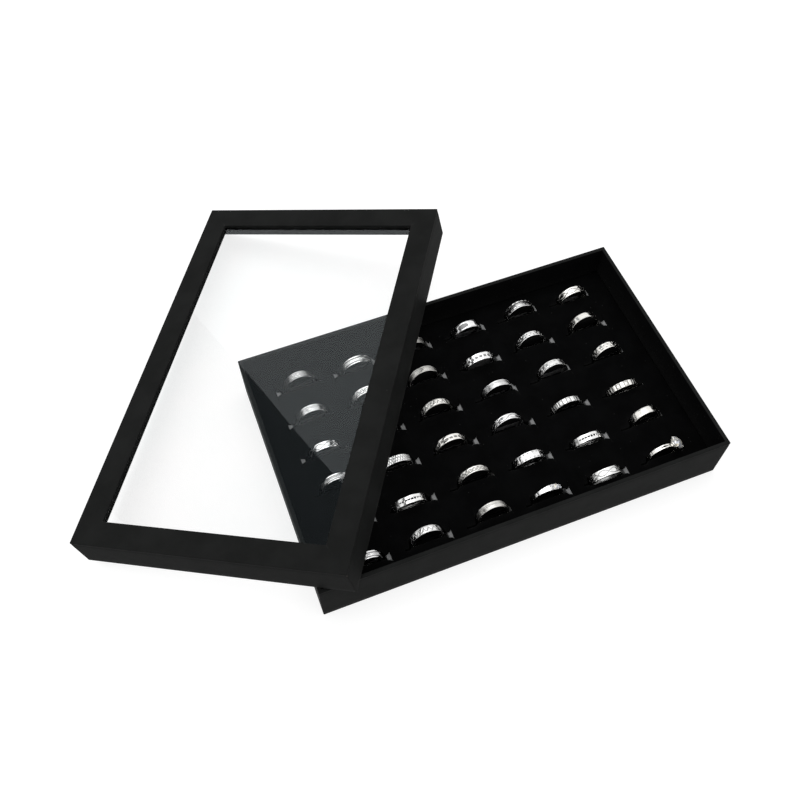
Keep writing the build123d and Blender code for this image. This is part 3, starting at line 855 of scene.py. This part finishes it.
def velvet_loops(ring):
    """The velvet of one cell: flat, then rolled over the slit's lip and down inside it. The
    flaps stop short of the cross cuts, where the velvet is just cut through."""
    xs, far, near, pushed = slit_sides(ring)
    left, right = pocket_reach(ring)
    flap = eased(np.minimum(xs + left, right - xs), 0.4, 1.8)
    roll = 0.9 * flap + 0.12
    slope = math.tan(math.radians(ring[7])) * pushed
    drop = (SHORT_FLAP_DEPTH if ring[:2] in FOAM_IN_SIGHT else FLAP_DEPTH) * flap
    flat_far = np.full(len(xs), far.max() + FLAT_MARGIN)
    flat_near = np.full(len(xs), near.min() - FLAT_MARGIN)
    flat = around(xs * 1.07, flat_far, flat_near)
    loops = [cell_rim(PAD_TOP), np.column_stack([flat, np.full(len(flat), PAD_TOP)])]
    lip_sheen_marks = [0.0, 0.0]

    def lip(back, depth, sheen_share):
        """A loop set back from the slit's edge by a share of the roll, at a depth, with its share of
        painted sheen. Beside the ring it follows the ring's lean."""
        aside = slope * depth
        stretch = 1 + 0.12 * back / (SLOT_LENGTH / 2)
        loop = around(xs * stretch, far + back * roll - aside, near - back * roll - aside)
        loops.append(np.column_stack([loop, PAD_TOP - around(xs, depth, depth)[:, 1]]))
        lip_sheen_marks.append(sheen_share)

    # The last number of each lip is its painted sheen, strongest where the velvet rolls over the edge.
    lip(3.2, 0 * roll, 0.0)
    lip(1.0, 0.02 * roll, 0.2)
    lip(0.55, 0.16 * roll, 0.7)
    lip(0.2, 0.42 * roll, 1.0)
    lip(0.0, 0.9 * roll, 0.8)
    lip(-0.08, VELVET + 0.3 * drop, 0.4)
    lip(-0.03, VELVET + 0.9 * drop, 0.1)
    lip(0.35, VELVET + 0.9 * drop, 0.0)
    lip(0.7, VELVET + 0 * drop, 0.0)
    loops.append(cell_rim(FOAM_TOP))
    lip_sheen_marks.append(0.0)
    return loops, lip_sheen_marks


def foam_loops(ring):
    """The foam of one cell: a pocket that clears the velvet's flaps, its edges crushed soft."""
    left, right = pocket_reach(ring)
    slit_xs, far, near, _ = slit_sides(ring)
    xs = slot_stations() / (SLOT_LENGTH / 2)
    xs = np.where(xs < 0, xs * left, xs * right)
    sway = 0.12 * np.sin(xs * 1.1 + ring[0] * 2.3 + ring[1])
    far = np.maximum(POCKET_HALF, np.interp(xs, slit_xs, far) + FLAP_ROOM) + sway
    near = np.minimum(-POCKET_HALF, np.interp(xs, slit_xs, near) - FLAP_ROOM) + sway
    top = FOAM_TOP - FOAM_SINK
    crushed = [(0.5, 0.0), (0.15, 0.1), (0.0, 0.45)]
    wall = [(0.08, 3.0), (-0.05, 6.5), (0.1, 9.8), (0.1, top - LINER_TOP)]
    loops = [cell_rim(top)]
    for back, depth in crushed + wall:
        loop = around(xs * (1 + 0.01 * back), far + back, near - back)
        loops.append(np.column_stack([loop, np.full(len(loop), top - depth)]))
    loops.append(cell_rim(LINER_TOP))
    return loops, [0.0] * len(loops)


def make_pad():
    low, high = (np.array(p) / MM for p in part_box("pad_cover"))
    half_x, half_y = (high - low)[:2] / 2
    rim = [
        (0, PAD_TOP), (0.55, PAD_TOP), (0.3, PAD_TOP - 0.1), (0.08, PAD_TOP - 0.4), (0.0, FOAM_TOP),
        (0.0, PAD_TOP - 5.0), (0.3, PAD_TOP - 5.0), (0.3, FOAM_TOP), (0, FOAM_TOP),
    ]
    velvet = slab_with_slots("pad_velvet", half_x, half_y, velvet_loops, rim, VELVET_FINISH)
    hand_over(velvet, "black_velvet", "pad_cover")
    top = FOAM_TOP - FOAM_SINK
    rim = [
        (0, top), (0.6, top), (0.45, FOAM_TOP - 0.3), (0.4, FOAM_TOP - 2), (0.4, LINER_TOP + 1),
        (0.6, LINER_TOP), (0, LINER_TOP),
    ]
    foam = slab_with_slots("pad_foam", half_x, half_y, foam_loops, rim, FOAM_FINISH)
    hand_over(foam, "grey_foam", "pad_foam_bars", "pad_foam_spacers")


# ---------------------------------------------------------------- engraving
def saw(t):
    """A triangle wave from -1 to 1 with a period of 1."""
    return 4 * np.abs(t - np.floor(t + 0.5)) - 1


def line(distance, half_width, soft=0.2):
    """1 on a line, 0 away from it."""
    return np.clip((half_width + soft - np.abs(distance)) / soft, 0, 1)


def engrave_plain(arc, y, width):
    return 0.35 * line(np.abs(y) - width * 0.42, 0.06)


def engrave_ridges(arc, y, width):
    return 0.5 - 0.5 * np.cos(2 * math.pi * y / (width / 5))


def engrave_twin_lines(arc, y, width):
    lines = line(np.abs(y) - width / 4, 0.16)
    ticks = line(saw(arc / 1.5), 0.25, 0.3) * (np.abs(y) < width / 4)
    return np.maximum(lines, 0.7 * ticks)


def engrave_hatch(arc, y, width):
    slants = line(saw((arc + 1.3 * y) / 1.7), 0.22, 0.25)
    return np.maximum(slants * (np.abs(y) < width * 0.32), line(np.abs(y) - width * 0.36, 0.1))


def engrave_oval(arc, y, width):
    oval = np.hypot(arc / (width * 0.75), y / (width * 0.3))
    return np.maximum(np.clip((1.08 - oval) / 0.1, 0, 1), 0.5 * line(np.abs(y) - width * 0.42, 0.08))


def engrave_bright_middle(arc, y, width):
    dash = 0.6 + 0.4 * np.sign(saw(arc / 2.8))
    return line(np.abs(y) - width * 0.33, 0.14) * dash


def engrave_double_wave(arc, y, width):
    sway = width * 0.3 * np.sin(arc / 2.3)
    return np.maximum(line(y - sway, 0.08), line(y + sway, 0.08))


def engrave_chevrons(arc, y, width):
    return line(saw((arc - 1.5 * np.abs(y)) / 1.9), 0.24, 0.25) * (np.abs(y) < width * 0.4)


def engrave_circles(arc, y, width):
    radius = width * 0.27
    along = (arc / (2.6 * radius) - np.round(arc / (2.6 * radius))) * 2.6 * radius
    rings = line(np.hypot(along, y) - radius, 0.13)
    return np.maximum(rings, line(np.hypot(along, y), 0.2))


def engrave_windows(arc, y, width):
    along = np.abs(arc / 2.9 - np.round(arc / 2.9)) * 2.9
    return np.clip((1.05 - along) / 0.12, 0, 1) * np.clip((width * 0.17 - np.abs(y)) / 0.1, 0, 1)


def engrave_dots(arc, y, width):
    along = (arc / 1.5 - np.round(arc / 1.5)) * 1.5
    side = width * 0.2 * np.where(np.round(arc / 1.5) % 2 == 0, 1, -1)
    return np.clip((0.5 - np.hypot(along, y - side)) / 0.12, 0, 1)


def engrave_zigzag(arc, y, width):
    zigzag = line(y - width * 0.28 * saw(arc / 3.2), 0.2)
    return np.maximum(zigzag, 0.6 * line(np.abs(y) - width * 0.42, 0.06))


def engrave_diamonds(arc, y, width):
    lattice = np.abs(saw(arc / 3.4)) - np.abs(y) / (width * 0.4)
    return line(lattice, 0.12, 0.14) * (np.abs(y) < width * 0.42)


def engrave_panels(arc, y, width):
    step = 2.75
    along = np.abs(arc / step - np.round(arc / step)) * step
    border = line(np.maximum(along / (step * 0.5), np.abs(y) / (width * 0.5)) - 0.66, 0.09, 0.08)
    joint = line(along - step / 2, 0.18)
    return np.maximum(joint, 0.8 * border * (np.round(arc / step) % 2 == 0))


ENGRAVINGS = {
    "plain": engrave_plain, "ridges": engrave_ridges, "twin_lines": engrave_twin_lines,
    "hatch": engrave_hatch, "oval": engrave_oval, "bright_middle": engrave_bright_middle,
    "double_wave": engrave_double_wave, "chevrons": engrave_chevrons, "circles": engrave_circles,
    "windows": engrave_windows, "dots": engrave_dots, "zigzag": engrave_zigzag,
    "diamonds": engrave_diamonds, "panels": engrave_panels,
}


# ---------------------------------------------------------------- rings
def band_section(columns=17):
    """Across a band: (share of its width from -1 to 1, share of its wall from outside 0 to
    inside 1, engraved or not). Edges are bevelled and the inside is domed."""
    outside = [(v, 0.0, 1.0) for v in np.linspace(-0.9, 0.9, columns)]
    right = [(0.975, 0.05, 0.0), (1.0, 0.2, 0.0), (1.0, 0.75, 0.0), (0.9, 0.93, 0.0)]
    inside = [(0.45, 1.0, 0.0), (-0.45, 1.0, 0.0)]
    left = [(-v, w, e) for v, w, e in reversed(right)]
    return np.array(outside + right + inside + left)


def band_angles():
    """Angles about the band from its bottom round to its bottom, closest over the top."""
    side = np.linspace(-math.pi, -1.75, 36, endpoint=False)
    return np.concatenate([side, np.linspace(-1.75, 1.75, 170), -side[:0:-1]])


def band_points(outer, width, engrave, width_at=None, offset_at=None):
    """Points of a band about the Y axis, its top at Z, with the engraving cut into it. The
    angle starts at the bottom. Returns points, engraving marks and band coordinates."""
    section = band_section()
    angles = band_angles()
    angle, share = np.meshgrid(angles, section[:, 0], indexing="ij")
    wall = np.broadcast_to(section[:, 1], angle.shape)
    cut = np.broadcast_to(section[:, 2], angle.shape)
    local_width = width if width_at is None else width_at(angle)
    y = share * local_width / 2
    arc = angle * outer / 2
    mark = np.zeros(angle.shape) if engrave is None else engrave(arc, y, width) * cut
    radius = outer / 2 - wall * RING_WALL - ENGRAVING_DEPTH * mark
    y = y + (0 if offset_at is None else offset_at(angle))
    points = np.stack([radius * np.sin(angle), y, radius * np.cos(angle)], axis=-1)
    coordinates = np.stack([arc, y, wall], axis=-1)
    return points.reshape(-1, 3), mark.ravel(), coordinates.reshape(-1, 3), (len(angles), len(section))


class Parts:
    """Collects several closed shapes into one mesh."""

    def __init__(self):
        self.points, self.faces, self.marks, self.along = [], [], [], []

    def add(self, points, faces, marks=None, along=None):
        first = sum(map(len, self.points))
        points = np.asarray(points, float)
        self.faces += [tuple(first + i for i in f) for f in faces]
        self.points.append(points)
        self.marks.append(np.zeros(len(points)) if marks is None else marks)
        # Pieces without band coordinates get Z 0 in along, so they take no painted bore shade.
        self.along.append(points * (1, 1, 0) if along is None else along)

    def finish(self, name, place, material, body, smooth=True):
        points = np.concatenate(self.points)
        world = points @ np.array(place.to_3x3()).T + np.array(place.translation)
        marks, along = np.concatenate(self.marks), np.concatenate(self.along)
        return new_piece(name, world, self.faces, material, body, marks, along, smooth)


def add_band(parts, outer, width, engrave, **shape):
    points, marks, along, (rows, columns) = band_points(outer, width, engrave, **shape)
    faces = turned_over(grid_faces(rows, columns))
    parts.add(points, faces, marks, along)


def turned(profile, steps, place):
    """A solid turned about Z from (radius, height) pairs that start and end on the axis."""
    ring = profile[1:-1]
    angles = np.linspace(0, 2 * math.pi, steps, endpoint=False)
    points = [np.array((r * math.cos(a), r * math.sin(a), h)) for r, h in ring for a in angles]
    faces = grid_faces(len(ring), steps, False, True)
    points += [np.array((0, 0, profile[0][1])), np.array((0, 0, profile[-1][1]))]
    low, high, last = len(points) - 2, len(points) - 1, (len(ring) - 1) * steps
    faces += [(low, (i + 1) % steps, i) for i in range(steps)]
    faces += [(high, last + i, last + (i + 1) % steps) for i in range(steps)]
    moved = np.array(points) @ np.array(place.to_3x3()).T + np.array(place.translation)
    return moved, faces


def wire(route, radius, steps=10):
    """A round wire with domed ends along a few points."""
    route = [np.array(p, float) for p in route]
    points, count = [], len(route)
    for i, p in enumerate(route):
        run = route[min(i + 1, count - 1)] - route[max(i - 1, 0)]
        run /= np.linalg.norm(run)
        side = np.cross(run, (0.3, 0.9, 0.2))
        side /= np.linalg.norm(side)
        other = np.cross(run, side)
        size = radius * (0.55 if i in (0, count - 1) else 1.0)
        for s in range(steps):
            a = 2 * math.pi * s / steps
            points.append(p + size * (math.cos(a) * side + math.sin(a) * other))
    faces = grid_faces(count, steps, False, True)
    faces += [tuple(reversed(range(steps))), tuple((count - 1) * steps + s for s in range(steps))]
    return np.array(points), faces


def split_band(parts, outer, width):
    """Two strands that part over the top of the ring, with small slanting bars between."""
    def parted(angle):
        return np.exp(-(angle / 0.75) ** 2)

    for side in (-1, 1):
        add_band(
            parts, outer, width, None,
            width_at=lambda a: width * (0.49 - 0.13 * parted(a)),
            offset_at=lambda a, s=side: s * width * (0.25 + 0.05 * parted(a) + 0.02 * np.sin(9 * a)),
        )
    top = outer / 2 - 0.5
    for i in range(-4, 5):
        a = i * 0.2
        slant = 0.5 * (-1) ** i
        start = (top * math.sin(a - 0.05), -slant - 0.55 * np.sign(slant), top * math.cos(a - 0.05))
        end = (top * math.sin(a + 0.05), slant + 0.55 * np.sign(slant), top * math.cos(a + 0.05))
        middle = tuple((s + e) / 2 for s, e in zip(start, end))
        parts.add(*wire([start, middle, end], 0.42))


def twisted_band(parts, outer, width):
    """Two thin strands laid side by side that part round an eye on each shoulder."""
    def eye(angle):
        return np.exp(-((np.abs(angle) - 0.8) / 0.25) ** 2)

    for side in (-1, 1):
        add_band(
            parts, outer, width, None,
            width_at=lambda a: width * (0.5 - 0.2 * eye(a)),
            offset_at=lambda a, s=side: s * width * (0.235 + 0.11 * eye(a)),
        )


def tapered_band(parts, outer, width):
    """A plain band that is narrow below and widest under its stones."""
    narrow = 1.5
    add_band(
        parts, outer, width, None,
        width_at=lambda a: narrow + (width - narrow) * (0.5 + 0.5 * np.cos(a)) ** 2.6,
    )


def tilt(degrees_about_y, height):
    return Matrix.Rotation(math.radians(degrees_about_y), 4, "Y") @ Matrix.Translation((0, 0, height))


def brilliant(radius, table, crown, girdle, pavilion, sides=8):
    """A round cut stone about Z with its girdle at Z 0: table, star, kite and girdle facets
    above, main facets below. Returns points and faces."""
    half = math.pi / sides
    points = []

    def ring(r, h, count, turn):
        first = len(points)
        for i in range(count):
            a = 2 * math.pi * i / count + turn
            points.append((r * math.cos(a), r * math.sin(a), h))
        return [first + i for i in range(count)]

    top = ring(radius * table, crown, sides, half)
    shoulder = ring(radius * (table + 1) / 2 * 1.13, crown * 0.6, sides, 0.0)
    upper = ring(radius, girdle, 2 * sides, 0.0)
    lower = ring(radius, 0.0, 2 * sides, 0.0)
    belly = ring(radius * 0.6, -pavilion * 0.55, sides, half)
    tip = ring(radius * 0.05, -pavilion, sides, half)
    faces = [tuple(top), tuple(reversed(tip))]
    for i in range(sides):
        j, before = (i + 1) % sides, (i - 1) % sides
        faces.append((top[before], shoulder[i], top[i]))
        faces += [(top[i], shoulder[i], upper[2 * i + 1]), (top[i], upper[2 * i + 1], shoulder[j])]
        faces += [(shoulder[i], upper[2 * i], upper[2 * i + 1])]
        faces += [(shoulder[j], upper[2 * i + 1], upper[(2 * i + 2) % (2 * sides)])]
        faces += [(lower[2 * i], belly[i], lower[2 * i + 1])]
        faces += [(lower[2 * i + 1], belly[i], lower[(2 * i + 2) % (2 * sides)])]
        faces += [(lower[2 * i], belly[before], belly[i])]
        faces.append((belly[i], belly[before], tip[before], tip[i]))
    for i in range(2 * sides):
        j = (i + 1) % (2 * sides)
        faces.append((upper[i], lower[i], lower[j], upper[j]))
    return np.array(points), faces


def cluster_head(parts, outer):
    """Three cups in a row with claws between their stones."""
    for side in (-1, 0, 1):
        place = tilt(SMALL_STONE_STEP * side, outer / 2)
        outside = [(0, -1.2), (1.0, -1.2), (1.45, -0.6), (1.62, 0.1), (1.6, 0.35)]
        inside = [(1.3, 0.35), (1.2, 0.05), (0, -0.1)]
        parts.add(*turned(outside + inside, 28, place))
        for k in range(4):
            a = math.pi / 4 + k * math.pi / 2
            foot = place @ Vector((1.42 * math.cos(a), 1.42 * math.sin(a), 0.0))
            knee = place @ Vector((1.4 * math.cos(a), 1.4 * math.sin(a), 0.28))
            tip = place @ Vector((1.12 * math.cos(a), 1.12 * math.sin(a), 0.46))
            parts.add(*wire([foot, knee, tip], 0.2, 8))


def solitaire_head(parts, outer):
    """An open basket: a lower ring, an upper ring and four claws that bend over the stone."""
    girdle = outer / 2 + STONE_HEIGHT
    for radius, height, thick in ((3.35, girdle - 1.0, 0.32), (2.3, girdle - 2.2, 0.3)):
        angles = np.linspace(0, 2 * math.pi, 49)[:-1]
        circle = [(radius * math.cos(a), radius * math.sin(a), height) for a in angles]
        rings = []
        for a, p in zip(angles, circle):
            outward = np.array((math.cos(a), math.sin(a), 0))
            for s in range(8):
                t = 2 * math.pi * s / 8
                around_wire = math.cos(t) * outward + math.sin(t) * np.array((0, 0, 1))
                rings.append(np.array(p) + thick * around_wire)
        parts.add(rings, turned_over(grid_faces(len(circle), 8)))
    for k in range(4):
        a = math.pi / 4 + k * math.pi / 2
        route = [(1.5, outer / 2 - 1.0), (2.4, girdle - 2.2), (3.5, girdle - 1.0), (4.35, girdle - 0.1),
                 (4.4, girdle + 0.45), (4.0, girdle + 0.85), (3.4, girdle + 1.0)]
        parts.add(*wire([(r * math.cos(a), r * math.sin(a), h) for r, h in route], 0.36, 10))


def make_ring(index, ring):
    row, place, kind, design, outer, width, shift, lean, turn = ring
    name = f"ring_{kind}_row{row}_place{place}"
    body = f"ring_row{row}_place{place}"
    centre = ring_centre(row, place, outer, width, shift, lean)
    where = Matrix.Translation(Vector(centre)) @ Matrix.Rotation(math.radians(-lean), 4, "X")
    where = where @ Matrix.Rotation(math.radians(turn), 4, "Y")
    material = STEELS[index % len(STEELS)]
    parts = Parts()
    if design == "split":
        split_band(parts, outer, width)
    elif design == "tapered":
        tapered_band(parts, outer, width)
        cluster_head(parts, outer)
    elif design == "thin":
        twisted_band(parts, outer, width)
        solitaire_head(parts, outer)
    else:
        add_band(parts, outer, width, ENGRAVINGS[design])
    hand_over(parts.finish(f"{name}_metal", where, material, body), "silver_steel", name)
    if design == "tapered":
        stones = Parts()
        for side in (-1, 0, 1):
            points, faces = brilliant(SMALL_STONE_RADIUS, 0.5, 0.5, 0.1, 0.5)
            spot = tilt(SMALL_STONE_STEP * side, outer / 2 + 0.2)
            stones.add(points @ np.array(spot.to_3x3()).T + np.array(spot.translation), faces)
        stone = stones.finish("ring_cluster_stones_cut", where, STONE_FINISH, body, smooth=False)
        hand_over(stone, "clear_stone", "ring_cluster_stones")
    if design == "thin":
        stones = Parts()
        points, faces = brilliant(STONE_RADIUS - 0.1, 0.45, 2.05, 0.35, 2.7)
        stones.add(points + (0, 0, outer / 2 + STONE_HEIGHT), faces)
        stone = stones.finish("ring_solitaire_stone_cut", where, STONE_FINISH, body, smooth=False)
        hand_over(stone, "clear_stone", "ring_solitaire_stone")


# ---------------------------------------------------------------- carried-over pieces
def finish_cad_nodes():
    """The hidden boards, tapes and flat papers keep their CAD shape and get their finish."""
    finishes = {
        "panel": (BOARD_FINISH, "grey_board"), "wall": (BOARD_FINISH, "grey_board"),
        "skirt": (BOARD_FINISH, "grey_board"), "frame": (BOARD_FINISH, "grey_board"),
        "stays": (TAPE_FINISH, "stay_tape"), "paper": (PAPER_FINISH, "black_paper"),
        "liner": (PAPER_FINISH, "black_paper"),
    }
    for name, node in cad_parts.items():
        if node.hide_render:
            continue
        material, slot_name = finishes[name.split("_")[-1]]
        node.data.materials.clear()
        node.data.materials.append(material)


# ---------------------------------------------------------------- stage
def card(name, corners, material):
    mesh = bpy.data.meshes.new(name)
    mesh.from_pydata(corners, [], [tuple(range(len(corners)))])
    mesh.materials.append(material)
    piece = bpy.data.objects.new(name, mesh)
    bpy.context.scene.collection.objects.link(piece)
    return piece


def seen_directly(nodes):
    """1 for rays that show the white background: camera, mirror and glass rays."""
    path = nodes.add("ShaderNodeLightPath").outputs
    first = nodes.maths("MAXIMUM", path["Is Camera Ray"], path["Is Glossy Ray"])
    return nodes.maths("MAXIMUM", first, path["Is Transmission Ray"])


def make_floor():
    """A pale floor. Seen directly it is lifted to white, and it keeps its soft shadow."""
    material = bpy.data.materials.new("pale_floor")
    material.use_nodes = True
    n = Nodes(material.node_tree)
    shader = material.node_tree.nodes["Principled BSDF"]
    set_plain(shader, Base_Color=grey(0.4), Roughness=1.0, Specular_IOR_Level=0.0)
    shader.inputs["Emission Color"].default_value = grey(1.0)
    n.join(n.maths("MULTIPLY", seen_directly(n), 0.78), shader.inputs["Emission Strength"])
    reach = 6.0
    corners = [(-reach, -reach, 0), (reach, -reach, 0), (reach, reach, 0), (-reach, reach, 0)]
    card("studio_floor", corners, material)


def make_flag():
    """A dark grey cloth at the back left that only mirror and glass rays see. It glows faintly, standing
    in for the light a lit cloth would send back.
    """
    material = bpy.data.materials.new("flag_cloth")
    material.use_nodes = True
    shader = material.node_tree.nodes["Principled BSDF"]
    set_plain(shader, Base_Color=grey(0.02), Roughness=1.0, Specular_IOR_Level=0.0)
    shader.inputs["Emission Color"].default_value = grey(1.0, (0.9, 1.0, 1.05))
    shader.inputs["Emission Strength"].default_value = 0.2
    right, left, back, low, top = -0.527, -1.1, 1.5, 0.95, 2.15
    corners = [(right, back, low), (left, back, low), (left, back, top), (right, back, top)]
    flag = card("studio_flag", corners, material)
    flag.visible_camera = False
    flag.visible_diffuse = False
    flag.visible_shadow = False


def make_world():
    world = bpy.data.worlds.new("soft_white_room")
    bpy.context.scene.world = world
    world.use_nodes = True
    n = Nodes(world.node_tree)
    ground = world.node_tree.nodes["Background"]
    direct = seen_directly(n)
    n.join(n.maths("ADD", n.maths("MULTIPLY", direct, 0.35), 0.65), ground.inputs["Strength"])
    ground.inputs["Color"].default_value = (1.0, 1.0, 1.0, 1.0)


def overhead_lamp(name, place, width, depth, power):
    """A level soft box that shines straight down."""
    lamp = bpy.data.lights.new(name, "AREA")
    lamp.shape = "RECTANGLE"
    lamp.size, lamp.size_y = width, depth
    lamp.energy = power
    piece = bpy.data.objects.new(name, lamp)
    piece.location = place
    bpy.context.scene.collection.objects.link(piece)


def make_camera():
    data = bpy.data.cameras.new("photo_view")
    data.lens = CAMERA_LENS
    data.clip_start, data.clip_end = 0.01, 50.0
    camera = bpy.data.objects.new("photo_view", data)
    place, aim = Vector(CAMERA_PLACE) * MM, Vector(CAMERA_AIM) * MM
    camera.rotation_mode = "QUATERNION"
    level = (aim - place).to_track_quat("-Z", "Y")
    roll = Matrix.Rotation(math.radians(-CAMERA_ROLL), 4, "Z").to_quaternion()
    camera.location = place
    camera.rotation_quaternion = level @ roll
    bpy.context.scene.collection.objects.link(camera)
    bpy.context.scene.camera = camera


make_tray_wrap()
make_lid_wrap()
make_film()
make_pad()
for ring_number, ring_row in enumerate(RINGS):
    make_ring(ring_number, ring_row)
finish_cad_nodes()
make_floor()
make_flag()
make_world()
overhead_lamp("soft_box", (-0.4, 0.42, 1.5), 2.0, 0.9, 9.0)
make_camera()
bpy.context.scene.view_settings.view_transform = "Standard"
